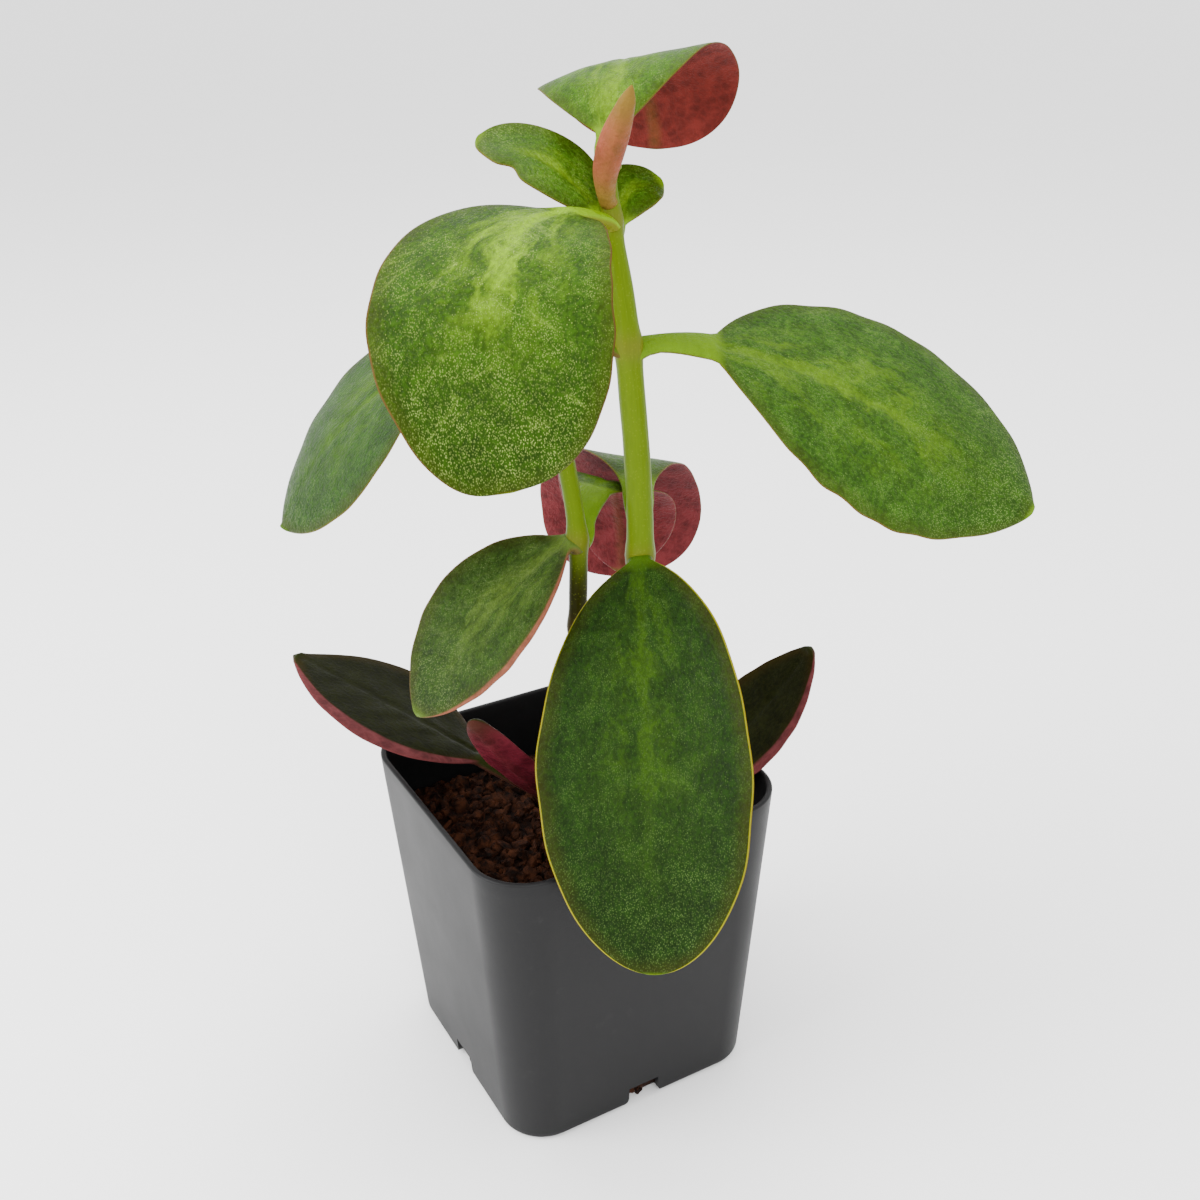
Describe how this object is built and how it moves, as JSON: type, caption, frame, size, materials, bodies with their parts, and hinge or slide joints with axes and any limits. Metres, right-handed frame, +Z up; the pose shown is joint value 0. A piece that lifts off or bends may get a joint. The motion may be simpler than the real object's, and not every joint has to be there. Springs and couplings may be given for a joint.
{
  "type": "potted jade plant",
  "caption": "Young potted succulent-leaved plant with upright stems and broad fleshy leaves, rooted in bark mix in a tapered square nursery pot.",
  "frame": {"origin": "centre of the pot's flat underside, where it stands on a surface", "axes": "+Z up along the pot's axis; X and Y square to the pot's sides; the plant's front faces the corner between -X and -Y"},
  "size_m": [0.1401, 0.1103, 0.2178],
  "materials": {
    "pot": "satin moulded black plastic",
    "potting_mix": "coarse crumbly red-brown bark and coir",
    "stem": "smooth satin yellow-green plant tissue",
    "leaf": "satin dark green upper side with light freckles, maroon underside"
  },
  "bodies": {
    "root": {"pot": "pot", "potting_mix": "potting_mix", "main_stem": "stem", "side_stem": "stem", "top_leaf": "leaf", "upper_left_leaf": "leaf", "tip_leaf": "leaf", "upper_rear_leaf": "leaf", "large_front_leaf": "leaf", "right_leaf": "leaf", "left_leaf": "leaf", "low_front_leaf": "leaf", "low_rear_leaf": "leaf", "side_shoot_leaf": "leaf", "side_shoot_rear_leaf": "leaf", "base_left_leaf": "leaf", "base_folded_leaf": "leaf", "base_right_leaf": "leaf"}
  },
  "joints": []
}
